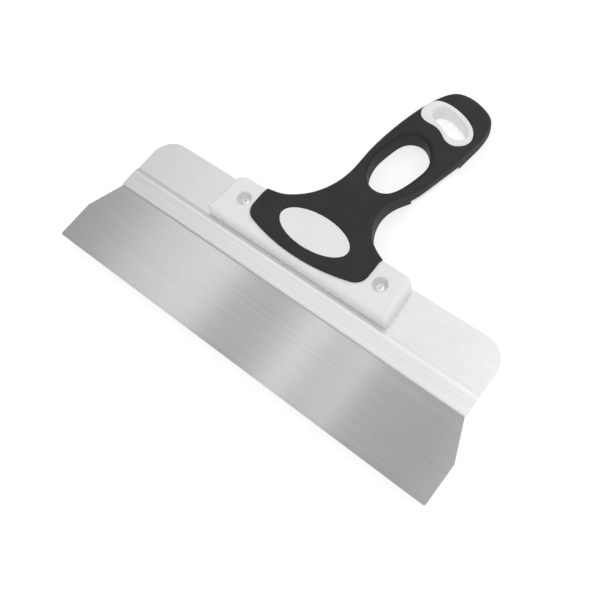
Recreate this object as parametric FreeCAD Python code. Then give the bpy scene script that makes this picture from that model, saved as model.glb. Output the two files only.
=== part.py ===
import FreeCAD, Part
import math
import os

# Flexible putty knife: a wide stainless blade clamped in an extruded aluminium back
# profile, and a two-material handle that is blind-riveted through the profile's flange.
#
# Drawing frame, used by every function below: X runs along the working edge, Y runs from
# the working edge (Y = 0) to the end of the handle, and Z = 0 is the middle plane of the
# blade, the profile and the handle. write_part() moves everything to the part's frame:
# the knife lies on the back of its handle, with the origin under the middle of its box.

Vector = FreeCAD.Vector

# ---- blade -----------------------------------------------------------------------------
BLADE_WIDTH = 350.0          # working edge
BLADE_THICKNESS = 0.6
BLADE_UPRIGHT_END = 32.6     # height of the square ends before they slant inwards
BLADE_CORNER_RADIUS = 1.8
BLADE_TOP = 74.0             # upper edge, hidden in the profile's slot

# ---- aluminium back profile ------------------------------------------------------------
PROFILE_LENGTH = 326.4
LIP_BOTTOM = 61.7            # lower edge of the two lips that clamp the blade
LIP_THICKNESS = 4.4          # over both lips
LIP_BEVEL = 0.9              # at their lower edge
LIP_SHOULDER = [(77.0, 2.2), (78.3, 2.0), (79.2, 1.65)]     # height and half thickness
FLANGE_BOTTOM = 81.6         # the section slopes from the shoulder to the flange
FLANGE_TOP = 117.7
FLANGE_THICKNESS = 1.6
FLANGE_CORNER_RADIUS = 19.0

# ---- handle ----------------------------------------------------------------------------
HANDLE_THICKNESS = 24.6      # over the soft pads at the base
EAR_THICKNESS = 20.8         # the hard base that the rivets go through
EAR_BOTTOM = 81.8
EAR_TOP = 122.2
EAR_HALF_WIDTH_BOTTOM = 85.7
EAR_HALF_WIDTH_TOP = 82.7
EAR_TOP_CORNER_RADIUS = 9.5
EAR_BOTTOM_CORNER_RADIUS = 3.0
EAR_EDGE_RADIUS = 5.2
SLOT_TOP_CLEARANCE = 0.3     # between the flange's upper edge and the end of the slot

SKIN = 2.2                   # thickness of the soft skin over the hard core
BASE_EDGE_RADIUS = 1.2       # rounding of the soft pad's edge on the base
GRIP_EDGE_RADIUS = 4.2       # rounding of the grip's long edges
GRIP_EDGE_START = 136.4      # from here up; the edge widens from the pad's to the grip's
FINGER_HOLE_EDGE_RADIUS = 3.3

PAD_HALF_WIDTH = 54.7        # soft pad on the base
PAD_BOTTOM = 87.0
PAD_BOTTOM_RADIUS = 164.0
PAD_CORNER_RADIUS = 11.4
OVAL_CENTRE = (0.25, 110.8)  # hard oval island in the pad
OVAL_HALF_WIDTH = 31.2
OVAL_HALF_HEIGHT = 14.4

# Side view of the handle's front face: distance along the handle and half thickness.
FACE_TAPER_START = 118.0
FACE_TAPER = [(150.0, 10.9), (175.0, 9.6), (215.0, 8.7), (250.0, 8.1), (285.0, 7.5)]
FACE_END_SLOPE = 0.015

# Grip outline: it leans to the right, so its two sides differ.
LEFT_ROOT = [(-54.7, 122.4), (-42.3, 125.0), (-32.5, 130.8), (-24.4, 138.4)]
GRIP_MAIN = [
    (-24.4, 138.4), (-18.2, 147.6), (-13.9, 158.2), (-11.6, 172.0), (-11.5, 190.0),
    (-9.6, 211.0), (-5.6, 232.0), (-0.9, 248.6), (6.0, 264.0), (14.5, 273.5),
    (27.6, 275.7), (40.2, 272.6), (51.2, 265.6), (54.8, 252.2), (53.2, 233.0),
    (51.0, 217.5), (46.4, 197.5), (39.8, 179.0), (32.7, 168.1), (28.9, 154.5),
    (31.7, 141.2),
]
RIGHT_ROOT = [(31.7, 141.2), (39.8, 130.0), (54.7, 122.4)]

FINGER_HOLE = [
    (14.3, 166.0), (23.5, 168.7), (29.5, 177.5), (33.7, 191.5), (35.0, 204.5),
    (28.5, 216.5), (16.5, 223.6), (4.8, 219.8), (-1.2, 206.5), (-3.7, 190.5),
    (-0.7, 177.3), (6.0, 168.9),
]
# Bean-shaped hard collar around the hang hole. Its left end reaches past the grip's side.
COLLAR = [
    (20.9, 259.7), (31.0, 257.3), (40.7, 252.8), (48.0, 245.4), (49.6, 238.3),
    (45.6, 231.8), (39.3, 229.0), (32.3, 230.4), (25.4, 234.8), (18.2, 237.0),
    (10.2, 237.4), (4.3, 240.0), (1.2, 246.6), (2.6, 255.0), (10.0, 259.4),
]
HANG_HOLE = [
    (18.1, 255.9), (28.2, 253.9), (38.4, 249.2), (44.2, 243.4), (43.9, 238.2),
    (39.2, 234.8), (31.5, 235.6), (24.2, 239.0), (16.4, 242.0), (11.2, 246.0),
    (10.9, 252.6),
]
# Window on the grip's right side: the soft skin stops at an arched line on the side wall,
# and the hard core shows from there to the back, a little sunk.
WINDOW_START = (39.4, 177.7)
WINDOW_END = (52.0, 222.4)
WINDOW_END_HEIGHT = -2.4     # of the arch, from the middle plane
WINDOW_MIDDLE_HEIGHT = -0.2
WINDOW_DEPTH = 4.3
FLANK_INSET = 0.8            # of the core, inwards from the grip's own side

# ---- blind rivets, 4.8 mm --------------------------------------------------------------
RIVET_X = 64.3
RIVET_Y = 104.5
RIVET_SHANK_RADIUS = 2.4
RIVET_HEAD_RADIUS = 4.8
RIVET_HEAD_HEIGHT = 1.5
RIVET_TAIL_RADIUS = 3.6
RIVET_TAIL_HEIGHT = 3.2
RIVET_DIMPLE_DEPTH = 0.7
RIVET_DIMPLE_FLARE = 0.6     # how much wider the dimple is at its mouth than at the pin
RIVET_CROWN_RADIUS = 2.9     # the head is nearly flat out to here
RIVET_CROWN_DROP = 0.15
RIVET_RIM_HEIGHT = 0.45
RIVET_TAIL_STRAIGHT = 1.6
MANDREL_RADIUS = 1.3
MANDREL_HEAD_RADIUS = 2.0
MANDREL_HEAD_HEIGHT = 0.9
MANDREL_HEAD_STRAIGHT = 0.55
WASHER_RADIUS = 5.3
WASHER_THICKNESS = 1.0
COUNTERBORE_RADIUS = 5.6
COUNTERBORE_FLOOR = 4.9      # height of each counterbore's floor above the middle plane

REACH = 400.0                # longer than the knife, for cutting tools
SAME_POINT = 1e-3            # points nearer than this are one point
ZERO = 1e-6                  # a box thinner than this is flat


# ---- outlines and simple solids --------------------------------------------------------
def points(pairs, z=0.0):
    return [Vector(x, y, z) for x, y in pairs]


def polygon(pairs):
    corners = points(pairs)
    return Part.Wire(Part.makePolygon(corners + corners[:1]).Edges)


def open_spline(pairs):
    curve = Part.BSplineCurve()
    curve.interpolate(Points=points(pairs))
    return curve


def closed_spline(pairs):
    curve = Part.BSplineCurve()
    curve.interpolate(Points=points(pairs), PeriodicFlag=True)
    return Part.Wire([curve.toShape()])


def offset_outline(wire, distance, spacing=3.0):
    """Offset outline whose edges are rebuilt as plain splines through points on them."""
    edges = []
    for edge in Part.Face(wire).makeOffset2D(distance).OuterWire.OrderedEdges:
        stations = edge.discretize(Number=max(3, int(edge.Length / spacing)))
        if stations[-2].distanceToPoint(stations[-1]) < SAME_POINT:
            del stations[-2]
        curve = Part.BSplineCurve()
        if edge.isClosed():
            curve.interpolate(Points=stations[:-1], PeriodicFlag=True)
        else:
            curve.interpolate(Points=stations)
        edges.append(curve.toShape())
    return Part.Wire(edges)


def prism(wire, low, high):
    solid = Part.Face(wire).extrude(Vector(0, 0, high - low))
    solid.translate(Vector(0, 0, low))
    return solid


def through_prism(wire):
    return prism(wire, -HANDLE_THICKNESS, HANDLE_THICKNESS)


def cylinder(radius, low, high, x, y):
    return Part.makeCylinder(radius, high - low, Vector(x, y, low))


def vertical_edges_at(solid, places):
    """The edges parallel to Z that stand at the given (x, y) places."""
    found = []
    for edge in solid.Edges:
        box = edge.BoundBox
        if box.XLength > ZERO or box.YLength > ZERO:
            continue
        if any(math.hypot(box.XMin - x, box.YMin - y) < SAME_POINT for x, y in places):
            found.append(edge)
    return found


def rounded(solid, radius_at):
    """Round edges by a radius that varies along them.

    radius_at(edge, point) gives the radius at one end of an edge, or None where the edge
    stays sharp.
    """
    document = FreeCAD.newDocument()
    base = document.addObject("Part::Feature")
    base.Shape = solid
    feature = document.addObject("Part::Fillet")
    feature.Base = base
    chosen = []
    for number, edge in enumerate(solid.Edges, start=1):
        start = edge.valueAt(edge.FirstParameter)
        end = edge.valueAt(edge.LastParameter)
        if edge.Orientation == "Reversed":
            start, end = end, start
        radii = radius_at(edge, start), radius_at(edge, end)
        if radii[0] is not None:
            chosen.append((number, radii[0], radii[1]))
    feature.Edges = chosen
    document.recompute()
    result = feature.Shape.copy()
    FreeCAD.closeDocument(document.Name)
    return result


# ---- blade and profile -----------------------------------------------------------------
def make_blade():
    edge = BLADE_WIDTH / 2
    top = PROFILE_LENGTH / 2
    outline = polygon([
        (-edge, 0), (edge, 0), (edge, BLADE_UPRIGHT_END), (top, LIP_BOTTOM),
        (top, BLADE_TOP), (-top, BLADE_TOP), (-top, LIP_BOTTOM), (-edge, BLADE_UPRIGHT_END),
    ])
    sheet = prism(outline, -BLADE_THICKNESS / 2, BLADE_THICKNESS / 2)
    corners = vertical_edges_at(sheet, [(-edge, 0), (edge, 0)])
    return sheet.makeFillet(BLADE_CORNER_RADIUS, corners)


def make_back_profile():
    """Extruded section: two lips with a slot for the blade, a slope and a flat flange."""
    lip = LIP_THICKNESS / 2
    flange = FLANGE_THICKNESS / 2
    slot = BLADE_THICKNESS / 2
    front_half = [
        (BLADE_TOP, slot), (LIP_BOTTOM, slot), (LIP_BOTTOM, lip - LIP_BEVEL),
        (LIP_BOTTOM + LIP_BEVEL, lip), *LIP_SHOULDER,
        (FLANGE_BOTTOM, flange), (FLANGE_TOP, flange),
    ]
    back_half = [(y, -z) for y, z in reversed(front_half)]
    section = [Vector(0, y, z) for y, z in front_half + back_half]
    wire = Part.makePolygon(section + section[:1])
    bar = Part.Face(wire).extrude(Vector(PROFILE_LENGTH, 0, 0))
    bar.translate(Vector(-PROFILE_LENGTH / 2, 0, 0))
    top_corners = []
    for edge in bar.Edges:
        box = edge.BoundBox
        at_end = box.XLength < ZERO
        at_top = box.YLength < ZERO and abs(box.YMax - FLANGE_TOP) < ZERO
        if at_end and at_top:
            top_corners.append(edge)
    bar = bar.makeFillet(FLANGE_CORNER_RADIUS, top_corners)
    for x in (-RIVET_X, RIVET_X):
        bar = bar.cut(cylinder(RIVET_SHANK_RADIUS, -LIP_THICKNESS, LIP_THICKNESS, x, RIVET_Y))
    return bar


# ---- handle ----------------------------------------------------------------------------
def pad_edges():
    """Right side, lower edge and left side of the soft pad, all tangent."""
    arc_centre = Vector(0, PAD_BOTTOM + PAD_BOTTOM_RADIUS, 0)
    reach = PAD_BOTTOM_RADIUS - PAD_CORNER_RADIUS
    corner_x = PAD_HALF_WIDTH - PAD_CORNER_RADIUS
    corner_y = arc_centre.y - math.sqrt(reach ** 2 - corner_x ** 2)
    outward = Vector(corner_x, corner_y, 0).sub(arc_centre).normalize()
    touch = arc_centre.add(outward * PAD_BOTTOM_RADIUS)
    diagonal = (outward + Vector(1, 0, 0)).normalize() * PAD_CORNER_RADIUS
    middle = Vector(corner_x, corner_y, 0).add(diagonal)
    side = Vector(PAD_HALF_WIDTH, corner_y, 0)
    top = Vector(PAD_HALF_WIDTH, RIGHT_ROOT[-1][1], 0)

    def mirrored(point):
        return Vector(-point.x, point.y, 0)

    lowest = Vector(0, PAD_BOTTOM, 0)
    return [
        Part.LineSegment(top, side).toShape(),
        Part.Arc(side, middle, touch).toShape(),
        Part.Arc(touch, lowest, mirrored(touch)).toShape(),
        Part.Arc(mirrored(touch), mirrored(middle), mirrored(side)).toShape(),
        Part.LineSegment(mirrored(side), mirrored(top)).toShape(),
    ]


def grip_wire():
    """Pad outline and grip outline as one closed wire."""
    whole = open_spline(LEFT_ROOT + GRIP_MAIN[1:] + RIGHT_ROOT[1:])
    breaks = [whole.parameter(points([pair])[0]) for pair in (GRIP_MAIN[0], GRIP_MAIN[-1])]
    limits = [whole.FirstParameter] + breaks + [whole.LastParameter]
    flanks = [whole.toShape(a, b) for a, b in zip(limits, limits[1:])]
    return Part.Wire(Part.__sortEdges__(flanks + pad_edges()))


def side_slab(inset):
    """A slab with the handle's side view, thinner by inset on each face."""
    half = HANDLE_THICKNESS / 2 - inset
    end_y, end_half = FACE_TAPER[-1]
    edges = []
    for side in (1, -1):
        start = Vector(0, FACE_TAPER_START, side * half)
        taper = [Vector(0, y, side * (z - inset)) for y, z in FACE_TAPER]
        curve = Part.BSplineCurve()
        curve.interpolate(Points=[start] + taper, InitialTangent=Vector(0, 1, 0),
                          FinalTangent=Vector(0, 1, -side * FACE_END_SLOPE))
        edges.append(curve.toShape())
        edges.append(Part.LineSegment(Vector(0, 0, side * half), start).toShape())
    for y, z in ((0, half), (end_y, end_half - inset)):
        edges.append(Part.LineSegment(Vector(0, y, z), Vector(0, y, -z)).toShape())
    slab = Part.Face(Part.Wire(Part.__sortEdges__(edges))).extrude(Vector(REACH, 0, 0))
    slab.translate(Vector(-REACH / 2, 0, 0))
    return slab


def face_rim(solid, inside=None):
    """Edges around the front and back faces, or only those inside a box's outline."""
    found = []
    for edge in solid.Edges:
        box = edge.BoundBox
        crosses_middle = box.ZMin < 0 < box.ZMax
        taper_line = box.YLength < ZERO and box.XLength > PAD_HALF_WIDTH
        if crosses_middle or taper_line:
            continue
        if inside is None or inside.isInside(Vector(box.Center.x, box.Center.y, 0)):
            found.append(edge)
    return found


def make_envelope():
    """Outer shape of the whole grip and pad, before the two materials are separated."""
    blank = through_prism(grip_wire()).common(side_slab(0.0))
    flat_rim = {edge.hashCode() for edge in face_rim(blank)}

    def radius_at(edge, point):
        if edge.hashCode() not in flat_rim:
            return None
        return GRIP_EDGE_RADIUS if point.y > GRIP_EDGE_START else BASE_EDGE_RADIUS

    blank = rounded(blank, radius_at)
    hole = through_prism(closed_spline(FINGER_HOLE))
    blank = blank.cut(hole)
    hole_rim = [edge for edge in face_rim(blank, hole.BoundBox)
                if edge.BoundBox.DiagonalLength < hole.BoundBox.DiagonalLength]
    return blank.makeFillet(FINGER_HOLE_EDGE_RADIUS, hole_rim)


def make_ears():
    """The hard base block, with tapered sides and rounded corners."""
    bottom, top = EAR_HALF_WIDTH_BOTTOM, EAR_HALF_WIDTH_TOP
    outline = polygon([(-bottom, EAR_BOTTOM), (bottom, EAR_BOTTOM),
                       (top, EAR_TOP), (-top, EAR_TOP)])
    block = prism(outline, -EAR_THICKNESS / 2, EAR_THICKNESS / 2)
    block = block.makeFillet(EAR_TOP_CORNER_RADIUS,
                             vertical_edges_at(block, [(-top, EAR_TOP), (top, EAR_TOP)]))
    lower = vertical_edges_at(block, [(-bottom, EAR_BOTTOM), (bottom, EAR_BOTTOM)])
    block = block.makeFillet(EAR_BOTTOM_CORNER_RADIUS, lower)
    rim = [edge for edge in block.Edges if edge.BoundBox.ZLength < ZERO]
    return block.makeFillet(EAR_EDGE_RADIUS, rim)


def window_block():
    """The side window as a cutting block: arched at the front, open at the back."""
    start = Vector(WINDOW_START[0], WINDOW_START[1], 0)
    end = Vector(WINDOW_END[0], WINDOW_END[1], 0)
    along = end.sub(start)
    outward = Vector(along.y, -along.x, 0).normalize()
    rise = Vector(0, 0, WINDOW_END_HEIGHT)
    crest = (start + end) * 0.5 + Vector(0, 0, WINDOW_MIDDLE_HEIGHT)
    drop = Vector(0, 0, -HANDLE_THICKNESS)
    outline = Part.Wire([
        Part.Arc(start + rise, crest, end + rise).toShape(),
        Part.LineSegment(end + rise, end + drop).toShape(),
        Part.LineSegment(end + drop, start + drop).toShape(),
        Part.LineSegment(start + drop, start + rise).toShape(),
    ])
    outline.translate(outward * -WINDOW_DEPTH)
    return Part.Face(outline).extrude(outward * (3 * WINDOW_DEPTH))


def oval_island():
    ellipse = Part.Ellipse(Vector(OVAL_CENTRE[0], OVAL_CENTRE[1], 0),
                           OVAL_HALF_WIDTH, OVAL_HALF_HEIGHT)
    return through_prism(Part.Wire([ellipse.toShape()]))


def flange_slot():
    """The blind slot for the profile's flange, as a cutting tool."""
    return Part.makeBox(REACH, FLANGE_TOP + SLOT_TOP_CLEARANCE, FLANGE_THICKNESS,
                        Vector(-REACH / 2, 0, -FLANGE_THICKNESS / 2))


def make_handle_core(envelope):
    """Hard core: inner body, base block, ovals, collar and side window."""
    body = through_prism(offset_outline(grip_wire(), -SKIN)).common(side_slab(SKIN))
    body = body.cut(through_prism(offset_outline(closed_spline(FINGER_HOLE), SKIN)))
    flank = window_block().common(through_prism(offset_outline(grip_wire(), -FLANK_INSET)))
    showing = oval_island().fuse([through_prism(closed_spline(COLLAR)), flank])
    core = body.fuse([make_ears(), showing.common(envelope)]).removeSplitter()
    core = core.cut(through_prism(closed_spline(HANG_HOLE)))
    core = core.cut(flange_slot())
    for x in (-RIVET_X, RIVET_X):
        core = core.cut(cylinder(RIVET_SHANK_RADIUS, -HANDLE_THICKNESS, HANDLE_THICKNESS,
                                 x, RIVET_Y))
        for low, high in ((COUNTERBORE_FLOOR, HANDLE_THICKNESS),
                          (-HANDLE_THICKNESS, -COUNTERBORE_FLOOR)):
            core = core.cut(cylinder(COUNTERBORE_RADIUS, low, high, x, RIVET_Y))
    return core


def make_soft_grip(envelope, core):
    """Soft overmould: what the hard core leaves of the envelope, open at the window."""
    skin = envelope.cut(core)
    return skin.cut([window_block(), through_prism(closed_spline(HANG_HOLE)), flange_slot()])


# ---- rivets ----------------------------------------------------------------------------
def turned(profile, x):
    """Solid of revolution about the rivet's axis, from (radius, height) corners."""
    section = [Vector(r, 0, z) for r, z in profile]
    face = Part.Face(Part.makePolygon(section + section[:1]))
    solid = face.revolve(Vector(0, 0, 0), Vector(0, 0, 1), 360)
    solid.translate(Vector(x, RIVET_Y, 0))
    return solid


def make_rivet_body(x):
    """Set rivet: domed head with a dimple, shank, and a swollen tail over the washer."""
    floor = COUNTERBORE_FLOOR
    head_top = floor + RIVET_HEAD_HEIGHT
    tail_top = -floor - WASHER_THICKNESS
    tail_end = tail_top - RIVET_TAIL_HEIGHT
    return turned([
        (MANDREL_RADIUS, head_top - RIVET_DIMPLE_DEPTH),
        (MANDREL_RADIUS + RIVET_DIMPLE_FLARE, head_top),
        (RIVET_CROWN_RADIUS, head_top - RIVET_CROWN_DROP),
        (RIVET_HEAD_RADIUS, floor + RIVET_RIM_HEIGHT),
        (RIVET_HEAD_RADIUS, floor), (RIVET_SHANK_RADIUS, floor),
        (RIVET_SHANK_RADIUS, tail_top), (RIVET_TAIL_RADIUS, tail_top),
        (RIVET_TAIL_RADIUS, tail_top - RIVET_TAIL_STRAIGHT), (MANDREL_HEAD_RADIUS, tail_end),
        (MANDREL_RADIUS, tail_end),
    ], x)


def make_mandrel(x):
    """Broken-off steel pin left in the rivet, with its head against the tail."""
    tail_end = -COUNTERBORE_FLOOR - WASHER_THICKNESS - RIVET_TAIL_HEIGHT
    top = COUNTERBORE_FLOOR + RIVET_HEAD_HEIGHT - RIVET_DIMPLE_DEPTH
    return turned([
        (0, top), (MANDREL_RADIUS, top), (MANDREL_RADIUS, tail_end),
        (MANDREL_HEAD_RADIUS, tail_end),
        (MANDREL_HEAD_RADIUS, tail_end - MANDREL_HEAD_STRAIGHT),
        (0, tail_end - MANDREL_HEAD_HEIGHT),
    ], x)


def make_washer(x):
    top = -COUNTERBORE_FLOOR
    bottom = top - WASHER_THICKNESS
    return turned([(RIVET_SHANK_RADIUS, bottom), (WASHER_RADIUS, bottom),
                   (WASHER_RADIUS, top), (RIVET_SHANK_RADIUS, top)], x)


# ---- assembly --------------------------------------------------------------------------
def build_nodes():
    envelope = make_envelope()
    core = make_handle_core(envelope)
    nodes = {
        "blade": make_blade(),
        "back_profile": make_back_profile(),
        "handle_core": core,
        "soft_grip": make_soft_grip(envelope, core),
    }
    for side, x in (("left", -RIVET_X), ("right", RIVET_X)):
        nodes["rivet_body_" + side] = make_rivet_body(x)
        nodes["rivet_mandrel_" + side] = make_mandrel(x)
        nodes["rivet_washer_" + side] = make_washer(x)
    return nodes


def write_part(nodes):
    length = max(shape.BoundBox.YMax for shape in nodes.values())
    os.makedirs("parts", exist_ok=True)
    for name, shape in nodes.items():
        placed = shape.copy()
        placed.translate(Vector(0, -length / 2, HANDLE_THICKNESS / 2))
        placed.exportStep("parts/" + name + ".step")
        print(name, len(placed.Solids), "solids", round(placed.Volume, 1), "mm3",
              "valid" if placed.isValid() else "NOT VALID")


write_part(build_nodes())
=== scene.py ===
import math

import bmesh
import bpy
import numpy as np
from mathutils import Matrix, Vector, kdtree


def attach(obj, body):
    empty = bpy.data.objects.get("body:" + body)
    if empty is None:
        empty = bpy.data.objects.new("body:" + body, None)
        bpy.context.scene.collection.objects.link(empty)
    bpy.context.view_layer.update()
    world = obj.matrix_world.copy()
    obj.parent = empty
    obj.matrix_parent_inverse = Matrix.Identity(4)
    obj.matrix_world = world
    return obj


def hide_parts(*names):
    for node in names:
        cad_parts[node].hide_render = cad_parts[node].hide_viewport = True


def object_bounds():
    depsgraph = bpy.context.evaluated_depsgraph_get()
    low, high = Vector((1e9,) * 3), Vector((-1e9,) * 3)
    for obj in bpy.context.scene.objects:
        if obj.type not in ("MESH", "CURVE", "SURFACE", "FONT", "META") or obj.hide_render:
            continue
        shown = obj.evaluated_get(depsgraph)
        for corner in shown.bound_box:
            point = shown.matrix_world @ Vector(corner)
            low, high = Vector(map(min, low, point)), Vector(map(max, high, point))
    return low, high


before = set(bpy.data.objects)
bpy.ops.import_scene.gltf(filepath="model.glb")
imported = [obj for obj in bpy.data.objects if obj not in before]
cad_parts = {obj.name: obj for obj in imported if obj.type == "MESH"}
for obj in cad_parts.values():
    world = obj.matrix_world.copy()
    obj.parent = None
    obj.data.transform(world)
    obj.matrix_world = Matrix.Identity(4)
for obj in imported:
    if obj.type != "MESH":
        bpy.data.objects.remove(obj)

# Flexible putty knife. The handle's two plastics are modelled as distance fields: each is
# a rule that says how far a point is from the surface, with its own rounding on every
# edge, and surface_net() turns the rule into a mesh. Lengths in these rules are
# millimetres in the drawing frame: X along the working edge, Y from the working edge to
# the end of the handle, Z = 0 at the middle of the blade's thickness.

CAD_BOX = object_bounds()
MM = 0.001
ORIGIN = Vector((0, CAD_BOX[0].y, (CAD_BOX[0].z + CAD_BOX[1].z) / 2))

# ---- sizes of the handle ---------------------------------------------------------------
HANDLE_END = 276.0           # just past the end of the grip
FACE_HALF = 12.3             # half thickness over the soft pads at the base
FACE_TAPER = [(118.0, FACE_HALF), (150.0, 10.9), (175.0, 9.6), (215.0, 8.7), (250.0, 8.1),
              (285.0, 7.5)]
SKIN = 2.2                   # soft skin over the hard core
WALL_CROWN = 0.45            # how far the side walls lean in from the parting line
BASE_EDGE_RADIUS = 1.1
GRIP_EDGE_RADIUS = 4.3
FINGER_EDGE_RADIUS = 3.4
ROOT_BOTTOM, ROOT_TOP = 114.0, 126.0       # the edge radius grows between these

EAR_HALF = 10.4
EAR_BOTTOM, EAR_TOP = 81.8, 122.2
EAR_HALF_WIDTH_BOTTOM, EAR_HALF_WIDTH_TOP = 85.7, 82.7
EAR_BOTTOM_CORNER_RADIUS, EAR_TOP_CORNER_RADIUS = 3.0, 9.5
EAR_EDGE_RADIUS, EAR_TOP_EDGE_RADIUS = 5.0, 5.6
EAR_TOP_EDGE_START = 108.0   # where the edge radius starts to grow towards the top
EAR_DRAFT = 0.035            # the block's sides lean in by this much per millimetre

PAD_HALF_WIDTH, PAD_BOTTOM, PAD_BOTTOM_RADIUS, PAD_CORNER_RADIUS = 54.7, 87.0, 164.0, 11.4
PAD_TOP_CORNER_RADIUS = 1.8  # GRIP starts and ends this far in from the pad's sides
OVAL_CENTRE, OVAL_HALF_WIDTH, OVAL_HALF_HEIGHT = (0.25, 110.8), 31.2, 14.4

FLANGE_HALF, SLOT_TOP = 0.8, 118.0         # half the flange's thickness, end of its slot
LIP_END, FLANGE_START = 77.0, 81.6         # of the profile, along Y
SLOT_PLAY = 0.04             # air between the flange and the moulded slot

# Plan outlines. GRIP runs from the pad's top left corner round to its top right one.
GRIP = [
    (-52.9, 122.4), (-42.3, 125.0), (-32.5, 130.8), (-24.4, 138.4), (-18.2, 147.6),
    (-13.9, 158.2), (-11.6, 172.0), (-11.5, 190.0), (-9.6, 211.0), (-5.6, 232.0),
    (-0.9, 248.6), (6.0, 264.0), (14.5, 273.5), (27.6, 275.7), (40.2, 272.6),
    (51.2, 265.6), (54.8, 252.2), (53.2, 233.0), (51.0, 217.5), (46.4, 197.5),
    (39.8, 179.0), (32.7, 168.1), (28.9, 154.5), (31.7, 141.2), (39.8, 130.0),
    (52.9, 122.4),
]
FINGER_HOLE = [
    (14.3, 166.0), (23.5, 168.7), (29.5, 177.5), (33.7, 191.5), (35.0, 204.5),
    (28.5, 216.5), (16.5, 223.6), (4.8, 219.8), (-1.2, 206.5), (-3.7, 190.5),
    (-0.7, 177.3), (6.0, 168.9),
]
COLLAR = [
    (20.9, 259.7), (31.0, 257.3), (40.7, 252.8), (48.0, 245.4), (49.6, 238.3),
    (45.6, 231.8), (39.3, 229.0), (32.3, 230.4), (25.4, 234.8), (18.2, 237.0),
    (10.2, 237.4), (4.3, 240.0), (1.2, 246.6), (2.6, 255.0), (10.0, 259.4),
]
HANG_HOLE = [
    (18.1, 255.9), (28.2, 253.9), (38.4, 249.2), (44.2, 243.4), (43.9, 238.2),
    (39.2, 234.8), (31.5, 235.6), (24.2, 239.0), (16.4, 242.0), (11.2, 246.0),
    (10.9, 252.6),
]
# The side window: the soft skin stops at an arched line on the grip's right side wall, and
# the hard core shows from there to the back, a little sunk.
WINDOW_START, WINDOW_END = (39.4, 177.7), (52.0, 222.4)
WINDOW_END_HEIGHT, WINDOW_MIDDLE_HEIGHT = -2.4, -0.2
WINDOW_DEPTH = 4.3
FLANK_INSET = 0.8            # of the core, inwards from the grip's own side

SEAM_RADIUS = 0.35           # rounding where the two plastics meet
SEAM_GAP = 0.06
COLLAR_RIM_RADIUS = 1.2      # rounding of the collar's edge round the hang hole
SCOOP_RADIUS = 4.0           # the same at the hole's left end
SCOOP_START, SCOOP_END = 20.0, 9.0         # along X, between which the rounding grows
HOLE_BACK_RADIUS = 1.6       # rounding of both holes at the back face
COUNTERBORE_RADIUS, COUNTERBORE_RIM = 5.6, 1.4         # of the bore and of its rounded rim
COUNTERBORE_FLOOR = 4.9      # height of each counterbore's floor above the middle plane
FOOT_GAP = 0.45              # relief where the base block's foot meets the flange

# ---- sizes of the rivets ---------------------------------------------------------------
RIVET_X, RIVET_Y = 64.3, 104.5
SHANK_RADIUS = 2.4
RIVET_HEAD_RADIUS, RIVET_HEAD_HEIGHT, RIVET_RIM_HEIGHT = 4.8, 1.5, 0.3
RIVET_DOME_RADIUS = 8.5
RIVET_DOME_START, RIVET_DOME_END = 75.0, 56.5          # degrees above the horizontal
DIMPLE = [(0.0, 0.75), (0.25, 0.3), (0.6, 0.2)]        # beyond the pin, below the head's top
RIVET_TAIL_RADIUS, RIVET_TAIL_HEIGHT, RIVET_TAIL_ROUNDING = 3.6, 3.2, 1.0
MANDREL_RADIUS, MANDREL_HEAD_RADIUS = 1.3, 2.0
BREAK = [(0.0, 0.1), (0.55, 0.25), (1.0, 0.0)]         # share of the radius, depth
MANDREL_HEAD = [(1.0, 0.35), (0.7, 0.75), (0.0, 0.9)]  # share of its radius, depth
WASHER_RADIUS, WASHER_THICKNESS = 5.3, 1.0
TURNED_EDGE, BLADE_EDGE, PROFILE_EDGE = 0.18, 0.08, 0.25        # bevels that catch light

# ---- meshing ---------------------------------------------------------------------------
OUTLINE_SPACING = 0.15       # between the dense points on an outline
GRID_STEP = 0.6
GRID_MARGIN = 3.0            # of the sampled block round the handle
SLOPE_REACH = 0.04           # over which a rule's slope is measured
KEPT_TRIANGLES = 0.35        # share of the net's triangles that are kept


# ---- plan outlines ---------------------------------------------------------------------
def cubic_through(points, closed, spacing=OUTLINE_SPACING):
    """Dense points on a smooth cubic through the given ones."""
    knots = np.array(points, float)
    if closed:
        knots = np.vstack([knots, knots[:1]])
    lengths = np.hypot(*np.diff(knots, axis=0).T)
    n = len(lengths)
    system = np.zeros((n + 1, n + 1))
    right = np.zeros((n + 1, 2))
    slope = np.diff(knots, axis=0) / lengths[:, None]
    for i in range(1, n):
        system[i, i - 1:i + 2] = lengths[i], 2 * (lengths[i - 1] + lengths[i]), lengths[i - 1]
        right[i] = 3 * (lengths[i] * slope[i - 1] + lengths[i - 1] * slope[i])
    if closed:
        system[0, [0, 1, n - 1]] = 2 * (lengths[-1] + lengths[0]), lengths[-1], lengths[0]
        right[0] = 3 * (lengths[0] * slope[-1] + lengths[-1] * slope[0])
        system[n, [0, n]] = 1, -1
    else:
        system[0, :2] = 2, 1
        right[0] = 3 * slope[0]
        system[n, -2:] = 1, 2
        right[n] = 3 * slope[-1]
    tangents = np.linalg.solve(system, right)
    pieces = []
    for i in range(n):
        t = np.arange(0, 1, spacing / lengths[i])[:, None]
        a, b = knots[i], knots[i + 1]
        ta, tb = tangents[i] * lengths[i], tangents[i + 1] * lengths[i]
        pieces.append((1 + 2 * t) * (1 - t) ** 2 * a + t * (1 - t) ** 2 * ta
                      + t ** 2 * (3 - 2 * t) * b - t ** 2 * (1 - t) * tb)
    return np.vstack(pieces)


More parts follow.
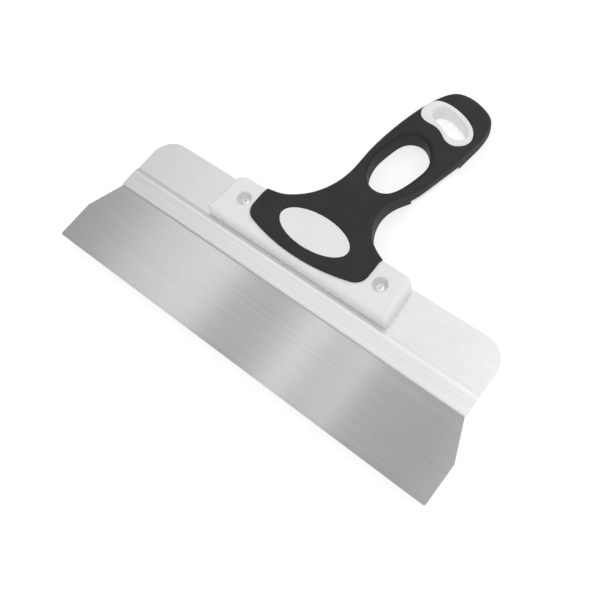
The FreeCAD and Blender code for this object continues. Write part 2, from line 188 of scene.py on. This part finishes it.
def rounded_polygon(corners, spacing=OUTLINE_SPACING):
    """Dense points round a polygon of (x, y, corner radius), counter-clockwise."""
    dense = []
    n = len(corners)
    for i in range(n):
        here, radius = np.array(corners[i][:2]), corners[i][2]
        before = np.array(corners[i - 1][:2]) - here
        after = np.array(corners[(i + 1) % n][:2]) - here
        before, after = before / np.hypot(*before), after / np.hypot(*after)
        half = math.acos(np.clip(before @ after, -1, 1)) / 2
        centre = here + (before + after) / np.hypot(*(before + after)) * radius / math.sin(half)
        start = here + before * radius / math.tan(half) - centre
        turn = math.pi - 2 * half
        steps = max(2, int(radius * turn / spacing))
        for angle in np.linspace(0, turn, steps):
            c, s = math.cos(angle), math.sin(angle)
            dense.append(centre + (c * start[0] - s * start[1], s * start[0] + c * start[1]))
    return filled(np.array(dense), spacing)


def filled(points, spacing):
    """The closed line through these points with more points on its long stretches."""
    ahead = np.roll(points, -1, axis=0)
    pieces = []
    for a, b in zip(points, ahead):
        count = max(1, int(np.hypot(*(b - a)) / spacing))
        pieces.append(a + (b - a) * np.arange(count)[:, None] / count)
    return np.vstack(pieces)


def pad_outline():
    """The soft pad's right side, curved lower edge and left side, going clockwise."""
    centre_y = PAD_BOTTOM + PAD_BOTTOM_RADIUS
    corner_x = PAD_HALF_WIDTH - PAD_CORNER_RADIUS
    corner_y = centre_y - math.sqrt((PAD_BOTTOM_RADIUS - PAD_CORNER_RADIUS) ** 2 - corner_x ** 2)
    lean = math.atan2(corner_x, centre_y - corner_y)
    corner = np.linspace(0, math.pi / 2 - lean, 40)
    lower = np.stack([corner_x + PAD_CORNER_RADIUS * np.cos(corner),
                      corner_y - PAD_CORNER_RADIUS * np.sin(corner)], 1)
    turn = np.linspace(math.pi / 2, 0, 20)[1:]
    upper = np.stack([GRIP[-1][0] + PAD_TOP_CORNER_RADIUS * np.cos(turn),
                      GRIP[-1][1] - PAD_TOP_CORNER_RADIUS * (1 - np.sin(turn))], 1)
    right = np.vstack([upper, lower])
    low = np.linspace(lean, -lean, 200)
    bottom = np.stack([PAD_BOTTOM_RADIUS * np.sin(low),
                       centre_y - PAD_BOTTOM_RADIUS * np.cos(low)], 1)
    left = right[::-1] * (-1, 1)
    return np.vstack([right, bottom[1:-1], left])


class Outline:
    """A closed plan outline, which gives the signed distance to it, negative inside."""

    def __init__(self, points, spacing=OUTLINE_SPACING):
        dense = filled(np.asarray(points, float), spacing)
        ahead, behind = np.roll(dense, -1, axis=0), np.roll(dense, 1, axis=0)
        area = (dense[:, 0] * ahead[:, 1] - ahead[:, 0] * dense[:, 1]).sum()
        along = (ahead - behind) * math.copysign(1, area)
        normals = np.stack([along[:, 1], -along[:, 0]], 1)
        self.normals = normals / np.maximum(np.hypot(*normals.T), 1e-9)[:, None]
        self.points = dense
        self.near = 2 * spacing
        self.tree = kdtree.KDTree(len(dense))
        for i, (x, y) in enumerate(dense.tolist()):
            self.tree.insert((x, y, 0), i)
        self.tree.balance()

    def distance(self, x, y):
        find = self.tree.find
        nearest = [find((a, b, 0))[1] for a, b in zip(x.ravel().tolist(), y.ravel().tolist())]
        offset = np.stack([x.ravel(), y.ravel()], 1) - self.points[nearest]
        across = (offset * self.normals[nearest]).sum(1)
        straight = np.hypot(*offset.T)
        signed = np.where(straight > self.near, np.copysign(straight, across), across)
        return signed.reshape(x.shape)


OUTLINES = {
    "grip": Outline(np.vstack([cubic_through(GRIP, closed=False), pad_outline()])),
    "finger": Outline(cubic_through(FINGER_HOLE, closed=True)),
    "collar": Outline(cubic_through(COLLAR, closed=True)),
    "hang": Outline(cubic_through(HANG_HOLE, closed=True)),
    "ears": Outline(rounded_polygon([
        (-EAR_HALF_WIDTH_BOTTOM, EAR_BOTTOM, EAR_BOTTOM_CORNER_RADIUS),
        (EAR_HALF_WIDTH_BOTTOM, EAR_BOTTOM, EAR_BOTTOM_CORNER_RADIUS),
        (EAR_HALF_WIDTH_TOP, EAR_TOP, EAR_TOP_CORNER_RADIUS),
        (-EAR_HALF_WIDTH_TOP, EAR_TOP, EAR_TOP_CORNER_RADIUS)])),
}
TAPER = cubic_through(FACE_TAPER, closed=False)


# ---- distance fields -------------------------------------------------------------------
def smooth_step(value, start, end):
    t = np.clip((value - start) / (end - start), 0, 1)
    return t * t * (3 - 2 * t)


def both(a, b, radius):
    """Inside a and inside b, with the edge between them rounded."""
    deep = np.minimum(np.maximum(a, b) + radius, 0)
    return deep + np.hypot(np.maximum(a + radius, 0), np.maximum(b + radius, 0)) - radius


class Plan:
    """What the rules need to know about plan points x, y."""

    def __init__(self, x, y):
        self.x, self.y = x, y
        self.half = np.interp(y, TAPER[:, 0], TAPER[:, 1], left=FACE_HALF)
        for name, outline in OUTLINES.items():
            setattr(self, name, outline.distance(x, y))
        u, v = x - OVAL_CENTRE[0], y - OVAL_CENTRE[1]
        around = np.hypot(u / OVAL_HALF_WIDTH, v / OVAL_HALF_HEIGHT)
        slope = np.hypot(u / OVAL_HALF_WIDTH ** 2, v / OVAL_HALF_HEIGHT ** 2)
        self.oval = (around - 1) * around / np.maximum(slope, 1e-6)
        self.rivet = np.hypot(np.abs(x) - RIVET_X, y - RIVET_Y)

    def spread(self):
        """The same plan with one more axis, for rules that add a height to it."""
        wide = Plan.__new__(Plan)
        wide.__dict__ = {name: value[..., None] for name, value in self.__dict__.items()}
        return wide


def envelope(plan, z):
    """The whole grip and pad before the two plastics are separated."""
    outside = plan.grip + WALL_CROWN * (z / plan.half) ** 2
    hole = -plan.finger + WALL_CROWN * (np.maximum(z, 0) / plan.half) ** 2
    grown = smooth_step(plan.y, ROOT_BOTTOM, ROOT_TOP)
    outer_radius = BASE_EDGE_RADIUS + (GRIP_EDGE_RADIUS - BASE_EDGE_RADIUS) * grown
    hole_radius = np.where(z > 0, FINGER_EDGE_RADIUS, HOLE_BACK_RADIUS)
    radius = np.where(hole > outside, hole_radius, outer_radius)
    return both(np.maximum(outside, hole), np.abs(z) - plan.half, radius)


def window(plan, z):
    """Where the hard core shows in the grip's right side wall."""
    start, end = np.array(WINDOW_START), np.array(WINDOW_END)
    length = np.hypot(*(end - start))
    along = (end - start) / length
    s = (plan.x - start[0]) * along[0] + (plan.y - start[1]) * along[1] - length / 2
    outward = (plan.x - start[0]) * along[1] - (plan.y - start[1]) * along[0]
    rise = WINDOW_MIDDLE_HEIGHT - WINDOW_END_HEIGHT
    top = WINDOW_MIDDLE_HEIGHT - rise * (2 * s / length) ** 2
    below = np.maximum(z - top, np.abs(s) - length / 2)
    return np.maximum(below, -outward - WINDOW_DEPTH)


def core_flank(plan, z):
    """The hard core's own outer shape in the window."""
    wall = plan.grip + FLANK_INSET + WALL_CROWN * (z / plan.half) ** 2
    return both(wall, np.abs(z) - plan.half + SEAM_GAP, GRIP_EDGE_RADIUS)


def ears(plan, z):
    """The hard base block with the counterbores for the rivets."""
    grown = smooth_step(plan.y, EAR_TOP_EDGE_START, EAR_TOP - EAR_TOP_EDGE_RADIUS)
    radius = EAR_EDGE_RADIUS + (EAR_TOP_EDGE_RADIUS - EAR_EDGE_RADIUS) * grown
    foot = np.maximum(1.0 - np.abs(np.abs(z) - FLANGE_HALF) / FOOT_GAP, 0)
    sides = plan.ears + EAR_DRAFT * np.abs(z) + FOOT_GAP * foot
    block = both(sides, np.abs(z) - EAR_HALF, radius)
    bore = np.maximum(plan.rivet - COUNTERBORE_RADIUS, COUNTERBORE_FLOOR - np.abs(z))
    return both(block, -bore, COUNTERBORE_RIM)


def inner_body(plan, z):
    """The part of the hard core under the soft skin."""
    walls = np.maximum(plan.grip, -plan.finger) + SKIN
    return both(walls, np.abs(z) - plan.half + SKIN, SKIN)


def hidden_core(plan, z):
    """What the soft plastic is moulded over, apart from the islands that show in it."""
    return np.minimum(inner_body(plan, z), ears(plan, z))


def flange_slot(plan, z):
    """The blind slot that the profile's flange sits in."""
    return np.maximum(np.abs(z) - FLANGE_HALF, plan.y - SLOT_TOP)


def hard_core(plan, z):
    """Everything made of the white plastic."""
    whole = envelope(plan, z)
    oval = both(plan.oval, np.abs(z) - plan.half, SEAM_RADIUS)
    collar = both(plan.collar, whole, SEAM_RADIUS)
    in_window = window(plan, z)
    flank = core_flank(plan, z)
    hidden = np.maximum(hidden_core(plan, z), np.minimum(flank, -in_window))
    beside = np.maximum(in_window, np.maximum(flank, whole))
    core = np.minimum(np.minimum(hidden, beside), np.minimum(oval, collar))
    scoop = smooth_step(plan.x, SCOOP_START, SCOOP_END)
    rim = COLLAR_RIM_RADIUS + (SCOOP_RADIUS - COLLAR_RIM_RADIUS) * scoop
    rim = np.where(z > 0, rim, HOLE_BACK_RADIUS)
    core = both(core, -plan.hang, rim)
    core = np.maximum(core, SHANK_RADIUS - plan.rivet)
    return np.maximum(core, SLOT_PLAY - flange_slot(plan, z))


def soft_skin(plan, z):
    """Everything made of the black soft plastic."""
    islands = np.minimum(np.minimum(plan.oval, plan.collar), window(plan, z))
    skin = both(envelope(plan, z), SEAM_GAP - islands, SEAM_RADIUS)
    skin = np.maximum(skin, SEAM_GAP - hidden_core(plan, z))
    return np.maximum(skin, SLOT_PLAY - flange_slot(plan, z))


# ---- from a distance field to a mesh ---------------------------------------------------
def surface_net(values, low, step):
    """Points and quads of the surface where the sampled values change sign."""
    cells = tuple(n - 1 for n in values.shape)
    total = np.zeros(cells + (3,), np.float32)
    count = np.zeros(cells, np.float32)
    crossings = []
    for axis in range(3):
        a = np.take(values, range(cells[axis]), axis)
        b = np.take(values, range(1, cells[axis] + 1), axis)
        at = np.argwhere((a < 0) != (b < 0))
        va, vb = a[tuple(at.T)], b[tuple(at.T)]
        place = at.astype(np.float32)
        place[:, axis] += va / (va - vb)
        u, v = (axis + 1) % 3, (axis + 2) % 3
        ring = []
        for du, dv in ((0, 0), (1, 0), (1, 1), (0, 1)):
            cell = at.copy()
            cell[:, u] -= du
            cell[:, v] -= dv
            ring.append(cell)
            np.add.at(total, tuple(cell.T), place)
            np.add.at(count, tuple(cell.T), 1)
        crossings.append((ring, va < 0))
    used = count > 0
    number = np.full(cells, -1)
    number[used] = np.arange(used.sum())
    points = total[used] / count[used][:, None] * step + np.array(low)
    quads = []
    for ring, starts_inside in crossings:
        corners = np.stack([number[tuple(cell.T)] for cell in ring], 1)
        quads.append(np.where(starts_inside[:, None], corners, corners[:, ::-1]))
    return points, np.vstack(quads)


def field_at(rule, points):
    return rule(Plan(points[:, 0], points[:, 1]), points[:, 2])


def field_slope(rule, points):
    """The rule's value at each point, and the direction in which it grows."""
    here = field_at(rule, points)
    slope = np.stack([field_at(rule, points + SLOPE_REACH * axis) - here
                      for axis in np.eye(3)], 1)
    return here, slope / SLOPE_REACH


def settled(rule, points):
    """The points moved onto the surface, each by less than half a grid step."""
    flattest = 0.25          # so that a spot with hardly any slope sends no point away
    for _ in range(2):
        here, slope = field_slope(rule, points)
        move = -here / np.maximum((slope ** 2).sum(1), flattest)
        move = np.clip(move, -GRID_STEP / 2, GRID_STEP / 2)
        points = points + slope * move[:, None]
    return points


def to_frame(points):
    return np.asarray(points) * MM + np.array(ORIGIN)


def moulded_piece(name, rule, low, high):
    """A mesh of the rule's surface, with fewer triangles where it is flat."""
    axes = [np.arange(a, b, GRID_STEP) for a, b in zip(low, high)]
    x, y = np.meshgrid(axes[0], axes[1], indexing="ij")
    values = rule(Plan(x, y).spread(), axes[2]).astype(np.float32)
    points, quads = surface_net(values, low, GRID_STEP)
    points = settled(rule, points)
    mesh = bpy.data.meshes.new(name)
    mesh.from_pydata(to_frame(points).tolist(), [], quads.tolist())
    piece = bpy.data.objects.new(name, mesh)
    bpy.context.scene.collection.objects.link(piece)
    thin = piece.modifiers.new("thin", "DECIMATE")
    thin.ratio = KEPT_TRIANGLES
    finished = bpy.data.meshes.new_from_object(
        piece.evaluated_get(bpy.context.evaluated_depsgraph_get()))
    piece.modifiers.clear()
    piece.data = finished
    bpy.data.meshes.remove(mesh)
    finished.name = name
    corners = np.array([v.co for v in finished.vertices])
    _, slope = field_slope(rule, (corners - np.array(ORIGIN)) / MM)
    normals = slope / np.maximum(np.linalg.norm(slope, axis=1), 1e-6)[:, None]
    finished.shade_smooth()
    finished.normals_split_custom_set_from_vertices(normals.tolist())
    return piece


# ---- turned pieces ---------------------------------------------------------------------
def turned_piece(name, profile, x, sides=64):
    """A solid of revolution about a rivet's axis, from (radius, height) corners in mm."""
    mesh = bmesh.new()
    axis = ORIGIN + Vector((x, RIVET_Y, 0)) * MM
    rings = []
    for radius, height in profile:
        if radius == 0:
            rings.append([mesh.verts.new(axis + Vector((0, 0, height * MM)))] * sides)
            continue
        angles = [2 * math.pi * i / sides for i in range(sides)]
        rings.append([mesh.verts.new(axis + Vector((radius * math.cos(a),
                                                    radius * math.sin(a), height)) * MM)
                      for a in angles])
    closed = profile[0][0] > 0
    pairs = list(zip(rings, rings[1:])) + ([(rings[-1], rings[0])] if closed else [])
    for inner, outer in pairs:
        for i in range(sides):
            j = (i + 1) % sides
            corners = [inner[i], inner[j], outer[j], outer[i]]
            mesh.faces.new(list(dict.fromkeys(corners)))
    bmesh.ops.recalc_face_normals(mesh, faces=mesh.faces)
    data = bpy.data.meshes.new(name)
    mesh.to_mesh(data)
    mesh.free()
    data.shade_smooth()
    piece = bpy.data.objects.new(name, data)
    bpy.context.scene.collection.objects.link(piece)
    edge = piece.modifiers.new("edge", "BEVEL")
    edge.width = TURNED_EDGE * MM
    edge.segments = 3
    edge.limit_method = "ANGLE"
    edge.angle_limit = math.radians(28)
    return piece


def arc(centre, radius, start, end, steps):
    """(radius, height) points on an arc, angles in degrees from the horizontal."""
    angles = np.radians(np.linspace(start, end, steps))
    return [(centre[0] + radius * math.cos(a), centre[1] + radius * math.sin(a))
            for a in angles]


def rivet_body(name, x):
    """Domed head, shank and swollen tail of a set blind rivet."""
    floor, top = COUNTERBORE_FLOOR, COUNTERBORE_FLOOR + RIVET_HEAD_HEIGHT
    seat = -COUNTERBORE_FLOOR - WASHER_THICKNESS
    tail_end = seat - RIVET_TAIL_HEIGHT
    dimple = [(MANDREL_RADIUS + beyond, top - depth) for beyond, depth in DIMPLE]
    dome = arc((0, top - RIVET_DOME_RADIUS), RIVET_DOME_RADIUS,
               RIVET_DOME_START, RIVET_DOME_END, steps=8)
    bulge = arc((RIVET_TAIL_RADIUS - RIVET_TAIL_ROUNDING, seat - RIVET_TAIL_ROUNDING),
                RIVET_TAIL_ROUNDING, 0, -70, steps=6)
    return turned_piece(name, [
        *dimple, *dome, (RIVET_HEAD_RADIUS, floor + RIVET_RIM_HEIGHT),
        (RIVET_HEAD_RADIUS, floor), (SHANK_RADIUS, floor), (SHANK_RADIUS, seat),
        (RIVET_TAIL_RADIUS, seat), *bulge, (MANDREL_HEAD_RADIUS, tail_end),
        (MANDREL_RADIUS, tail_end)], x)


def rivet_mandrel(name, x):
    """The pin that broke off inside the rivet, with its head against the tail."""
    top = COUNTERBORE_FLOOR + RIVET_HEAD_HEIGHT - DIMPLE[0][1]
    tail_end = -COUNTERBORE_FLOOR - WASHER_THICKNESS - RIVET_TAIL_HEIGHT
    broken = [(MANDREL_RADIUS * share, top - depth) for share, depth in BREAK]
    head = [(MANDREL_HEAD_RADIUS * share, tail_end - depth) for share, depth in MANDREL_HEAD]
    return turned_piece(name, [*broken, (MANDREL_RADIUS, tail_end),
                               (MANDREL_HEAD_RADIUS, tail_end), *head], x)


def rivet_washer(name, x):
    top = -COUNTERBORE_FLOOR
    bottom = top - WASHER_THICKNESS
    return turned_piece(name, [(SHANK_RADIUS, bottom), (WASHER_RADIUS, bottom),
                               (WASHER_RADIUS, top), (SHANK_RADIUS, top)], x)


# ---- materials -------------------------------------------------------------------------
class Nodes:
    """A new material's node tree, with short ways to add and join nodes."""

    def __init__(self, name):
        self.material = bpy.data.materials.new(name)
        self.material.use_nodes = True
        self.tree = self.material.node_tree
        self.shader = self.tree.nodes["Principled BSDF"]
        self.place = self.add("ShaderNodeTexCoord").outputs["Object"]

    def add(self, kind, **settings):
        node = self.tree.nodes.new(kind)
        for name, value in settings.items():
            setattr(node, name, value)
        return node

    def link(self, output, target):
        self.tree.links.new(output, target)

    def set(self, **values):
        for name, value in values.items():
            self.shader.inputs[name.replace("_", " ")].default_value = value

    def stretched(self, scale):
        """Coordinates in metres multiplied by scale per axis."""
        mapping = self.add("ShaderNodeMapping")
        mapping.inputs["Scale"].default_value = scale
        self.link(self.place, mapping.inputs["Vector"])
        return mapping.outputs["Vector"]

    def noise(self, scale, detail=3.0, roughness=0.5):
        """Noise with scale cells per metre along each axis, around 0.5."""
        node = self.add("ShaderNodeTexNoise")
        node.inputs["Scale"].default_value = 1.0
        node.inputs["Detail"].default_value = detail
        node.inputs["Roughness"].default_value = roughness
        self.link(self.stretched(scale), node.inputs["Vector"])
        return node.outputs["Fac"]

    def ramp(self, value, *stops):
        """A colour ramp of (position, grey or colour) stops."""
        node = self.add("ShaderNodeValToRGB")
        elements = node.color_ramp.elements
        while len(elements) < len(stops):
            elements.new(0.5)
        for element, (position, colour) in zip(elements, stops):
            element.position = position
            shades = (colour,) * 3 if isinstance(colour, float) else colour
            element.color = (*shades, 1)
        self.link(value, node.inputs["Fac"])
        return node.outputs["Color"]

    def mixed(self, share, a, b, blend="MIX"):
        node = self.add("ShaderNodeMix", data_type="RGBA", blend_type=blend)
        sockets = {socket.name: socket for socket in node.inputs if socket.enabled}
        for name, value in (("Factor", share), ("A", a), ("B", b)):
            if isinstance(value, bpy.types.NodeSocket):
                self.link(value, sockets[name])
            else:
                sockets[name].default_value = value
        return next(socket for socket in node.outputs if socket.enabled)

    def scaled(self, value, low, high):
        """A 0 to 1 value stretched to low to high."""
        node = self.add("ShaderNodeMapRange")
        node.inputs["To Min"].default_value = low
        node.inputs["To Max"].default_value = high
        self.link(value, node.inputs["Value"])
        return node.outputs["Result"]

    def bump(self, height, depth):
        """A bump whose height of 1 stands depth metres proud."""
        node = self.add("ShaderNodeBump")
        node.inputs["Distance"].default_value = depth
        node.inputs["Strength"].default_value = 1.0
        self.link(height, node.inputs["Height"])
        return node.outputs["Normal"]


def grained_along_x(material):
    """Turns the shader's narrow highlight so that the metal looks brushed along X."""
    across = material.add("ShaderNodeCombineXYZ")
    across.inputs["Y"].default_value = 1.0
    material.link(across.outputs["Vector"], material.shader.inputs["Tangent"])


def brushed_steel():
    m = Nodes("brushed_steel")
    m.set(Metallic=1.0, Anisotropic=0.95)
    fine = m.noise((12, 3200, 3200), detail=5.0, roughness=0.7)
    broad = m.noise((3, 420, 420), detail=5.0, roughness=0.6)
    colour = m.ramp(fine, (0.30, (0.545, 0.545, 0.548)), (0.70, (0.625, 0.625, 0.627)))
    shade = m.ramp(broad, (0.30, 0.93), (0.70, 1.0))
    m.link(m.mixed(1.0, colour, shade, "MULTIPLY"), m.shader.inputs["Base Color"])
    m.link(m.scaled(broad, 0.10, 0.17), m.shader.inputs["Roughness"])
    m.link(m.bump(fine, 1.2e-6), m.shader.inputs["Normal"])
    grained_along_x(m)
    return m.material


def extruded_aluminium():
    """Die lines on the lips, a painted highlight along the lips' upper edge, and satin on the
    flange.
    """
    m = Nodes("extruded_aluminium")
    m.set(Metallic=1.0, Anisotropic=0.5)
    split = m.add("ShaderNodeSeparateXYZ")
    m.link(m.place, split.inputs["Vector"])

    def grows(start, end):
        share = m.add("ShaderNodeMapRange")
        share.inputs["From Min"].default_value = ORIGIN.y + start * MM
        share.inputs["From Max"].default_value = ORIGIN.y + end * MM
        m.link(split.outputs["Y"], share.inputs["Value"])
        return share.outputs["Result"]

    on_lip = grows(FLANGE_START, LIP_END)
    # A lighter band painted along the lip's upper edge: a painted highlight in place of the
    # reflection that this edge catches.
    painted_edge_highlight = m.mixed(grows(LIP_END - 1.1, LIP_END - 0.5), (0, 0, 0, 1),
                        grows(LIP_END + 0.9, LIP_END + 0.3))
    lines = m.noise((3.0, 900, 900), detail=5.0, roughness=0.65)
    satin = m.noise((90, 260, 260), detail=3.0)
    lip = m.ramp(lines, (0.32, (0.76, 0.76, 0.765)), (0.68, (0.90, 0.90, 0.902)))
    flange = m.ramp(satin, (0.30, (0.83, 0.83, 0.835)), (0.70, (0.87, 0.87, 0.872)))
    m.link(m.mixed(painted_edge_highlight, m.mixed(on_lip, flange, lip), (0.9, 0.9, 0.9, 1)),
           m.shader.inputs["Base Color"])
    m.link(m.scaled(satin, 0.36, 0.42), m.shader.inputs["Roughness"])
    depth = m.mixed(on_lip, (0.5, 0.5, 0.5, 1), lines)
    m.link(m.bump(depth, 8e-6), m.shader.inputs["Normal"])
    grained_along_x(m)
    return m.material


def white_plastic():
    m = Nodes("white_plastic")
    m.set(IOR=1.5)
    tone = m.noise((40, 40, 40), detail=2.0)
    m.link(m.ramp(tone, (0.3, (0.82, 0.82, 0.82)), (0.7, (0.86, 0.86, 0.86))),
           m.shader.inputs["Base Color"])
    grain = m.noise((2200, 2200, 2200), detail=2.0)
    m.link(m.scaled(tone, 0.34, 0.42), m.shader.inputs["Roughness"])
    m.link(m.bump(grain, 6e-6), m.shader.inputs["Normal"])
    return m.material


def soft_rubber():
    m = Nodes("soft_rubber")
    m.set(IOR=1.45, Specular_IOR_Level=0.35)
    tone = m.noise((60, 60, 60), detail=3.0)
    grain = m.noise((2600, 2600, 2600), detail=3.0, roughness=0.6)
    colour = m.ramp(tone, (0.3, (0.024, 0.024, 0.0245)), (0.7, (0.032, 0.032, 0.0325)))
    speck = m.ramp(grain, (0.35, 0.8), (0.65, 1.0))
    m.link(m.mixed(1.0, colour, speck, "MULTIPLY"), m.shader.inputs["Base Color"])
    m.link(m.scaled(grain, 0.58, 0.72), m.shader.inputs["Roughness"])
    m.link(m.bump(grain, 2.2e-5), m.shader.inputs["Normal"])
    return m.material


def satin_metal(name, dark, light, roughness):
    m = Nodes(name)
    m.set(Metallic=1.0)
    tone = m.noise((700, 700, 700), detail=4.0)
    m.link(m.ramp(tone, (0.3, (dark,) * 3), (0.7, (light,) * 3)),
           m.shader.inputs["Base Color"])
    m.link(m.scaled(tone, roughness - 0.06, roughness + 0.06), m.shader.inputs["Roughness"])
    m.link(m.bump(tone, 8e-6), m.shader.inputs["Normal"])
    return m.material


def dress(piece, material):
    piece.data.materials.clear()
    piece.data.materials.append(material)


def softened_edges(node, width):
    """Small bevels on a CAD node's edges, so that they catch light."""
    weld = node.modifiers.new("weld", "WELD")
    weld.merge_threshold = 1e-6
    edge = node.modifiers.new("edge", "BEVEL")
    edge.width = width
    edge.segments = 3
    edge.limit_method = "ANGLE"
    edge.angle_limit = math.radians(25)
    edge.harden_normals = True


# ---- the knife -------------------------------------------------------------------------
def add_piece(piece, material, slot, *nodes):
    dress(piece, material)
    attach(piece, "root")
    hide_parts(*nodes)


def build_knife():
    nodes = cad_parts
    plastic, rubber = white_plastic(), soft_rubber()
    aluminium = satin_metal("rivet_aluminium", 0.82, 0.92, 0.5)
    pin_steel = satin_metal("mandrel_steel", 0.64, 0.74, 0.45)
    zinc = satin_metal("washer_steel", 0.55, 0.64, 0.4)

    dress(nodes["blade"], brushed_steel())
    softened_edges(nodes["blade"], BLADE_EDGE * MM)
    dress(nodes["back_profile"], extruded_aluminium())
    softened_edges(nodes["back_profile"], PROFILE_EDGE * MM)

    high_z = FACE_HALF + 2 * GRID_STEP
    low_y, high_y = EAR_BOTTOM - GRID_MARGIN, HANDLE_END + GRID_MARGIN
    for name, rule, half_width, material, slot, node in (
            ("core_moulding", hard_core, EAR_HALF_WIDTH_BOTTOM, plastic, "core_plastic",
             "handle_core"),
            ("grip_overmould", soft_skin, PAD_HALF_WIDTH, rubber, "grip_rubber",
             "soft_grip")):
        reach = half_width + GRID_MARGIN
        piece = moulded_piece(name, rule, (-reach, low_y, -high_z), (reach, high_y, high_z))
        add_piece(piece, material, slot, node)
    for side, x in (("left", -RIVET_X), ("right", RIVET_X)):
        add_piece(rivet_body("rivet_" + side, x), aluminium, "rivet_aluminium",
                  "rivet_body_" + side)
        add_piece(rivet_mandrel("pin_" + side, x), pin_steel, "mandrel_steel",
                  "rivet_mandrel_" + side)
        add_piece(rivet_washer("washer_" + side, x), zinc, "washer_steel",
                  "rivet_washer_" + side)


# ---- floor, light and camera -----------------------------------------------------------
CAMERA_PLACE = Vector((0.2195, -0.1951, 0.4948))
CAMERA_AIM = Vector((-0.3703, 0.2285, -0.9004))
CAMERA_UP = Vector((-0.5207, 0.7516, 0.4048))
CAMERA_LENS = 44.474
FLOOR_HALF_SIZE = 6.0
FLOOR_GAP = 0.0002           # below the knife, so that no face lies in the floor


def build_floor():
    material = Nodes("floor_paper")
    tone = material.noise((3, 3, 3), detail=2.0)
    material.link(material.ramp(tone, (0.3, 0.36), (0.7, 0.38)),
                  material.shader.inputs["Base Color"])
    material.set(Roughness=0.9, Emission_Color=(1, 1, 1, 1), Emission_Strength=0.72)
    mesh = bmesh.new()
    bmesh.ops.create_grid(mesh, x_segments=8, y_segments=8, size=FLOOR_HALF_SIZE)
    data = bpy.data.meshes.new("floor")
    mesh.to_mesh(data)
    mesh.free()
    floor = bpy.data.objects.new("floor", data)
    floor.location.z = CAD_BOX[0].z - FLOOR_GAP
    bpy.context.scene.collection.objects.link(floor)
    dress(floor, material.material)


SKY_FROM_LEFT = [            # degrees from straight up towards +X, brightness
    (-60, 0.42), (-45, 0.48), (-38.5, 0.64), (-36.3, 0.76), (-34, 1.02), (-32, 1.08),
    (-29.7, 1.18), (-28.2, 1.12), (-26.3, 0.74), (-23.3, 0.74), (-21.2, 1.0), (-19.9, 1.25),
    (-18.4, 0.95), (-17, 0.93), (-15.3, 1.06), (-14.2, 0.85), (-13.6, 0.72), (-8, 0.65),
    (-5, 0.75), (1, 1.4), (10, 1.85), (22, 1.5), (40, 0.8), (60, 0.6),
]
SKY_FROM_FRONT = [           # degrees from straight up towards +Y, brightness
    (-85, 1.2), (-60, 0.85), (-45, 0.95), (-30, 0.8), (0, 0.88), (12, 1.0), (25, 1.14),
    (38, 1.35), (46, 1.2), (56, 0.95), (80, 0.85),
]


def build_sky():
    """A studio surround whose brightness changes in bands, both ways across the sky.

    The knife is lit by the bands; behind it shows a plain white backdrop.
    """
    world = bpy.data.worlds.new("studio")
    bpy.context.scene.world = world
    world.use_nodes = True
    tree = world.node_tree
    new, link = tree.nodes.new, tree.links.new
    split = new("ShaderNodeSeparateXYZ")
    link(new("ShaderNodeTexCoord").outputs["Generated"], split.inputs["Vector"])

    def banded(axis, stops):
        first, last = stops[0][0], stops[-1][0]
        tilt = new("ShaderNodeMath")
        tilt.operation = "ARCTAN2"
        link(split.outputs[axis], tilt.inputs[0])
        link(split.outputs["Z"], tilt.inputs[1])
        share = new("ShaderNodeMapRange")
        share.inputs["From Min"].default_value = math.radians(first)
        share.inputs["From Max"].default_value = math.radians(last)
        link(tilt.outputs["Value"], share.inputs["Value"])
        bands = new("ShaderNodeValToRGB")
        elements = bands.color_ramp.elements
        while len(elements) < len(stops):
            elements.new(0.5)
        for element, (degrees, grey) in zip(elements, stops):
            element.position = (degrees - first) / (last - first)
            element.color = (grey, grey, grey, 1)
        link(share.outputs["Result"], bands.inputs["Fac"])
        return bands.outputs["Color"]

    product = new("ShaderNodeVectorMath")
    product.operation = "MULTIPLY"
    link(banded("X", SKY_FROM_LEFT), product.inputs[0])
    link(banded("Y", SKY_FROM_FRONT), product.inputs[1])
    banding = tree.nodes["Background"]
    link(product.outputs["Vector"], banding.inputs["Color"])
    backdrop = new("ShaderNodeBackground")
    backdrop.inputs["Color"].default_value = (1, 1, 1, 1)
    choice = new("ShaderNodeMixShader")
    link(new("ShaderNodeLightPath").outputs["Is Camera Ray"], choice.inputs["Fac"])
    link(banding.outputs["Background"], choice.inputs[1])
    link(backdrop.outputs["Background"], choice.inputs[2])
    link(choice.outputs["Shader"], tree.nodes["World Output"].inputs["Surface"])


def build_camera():
    camera = bpy.data.objects.new("camera", bpy.data.cameras.new("camera"))
    bpy.context.scene.collection.objects.link(camera)
    right = CAMERA_AIM.cross(CAMERA_UP).normalized()
    up = right.cross(CAMERA_AIM).normalized()
    turn = Matrix((right, up, -CAMERA_AIM.normalized())).transposed()
    camera.matrix_world = Matrix.Translation(CAMERA_PLACE) @ turn.to_4x4()
    camera.data.lens = CAMERA_LENS
    camera.data.clip_start = 0.01
    bpy.context.scene.camera = camera


bpy.context.scene.view_settings.view_transform = "Standard"
build_knife()
build_floor()
build_sky()
build_camera()
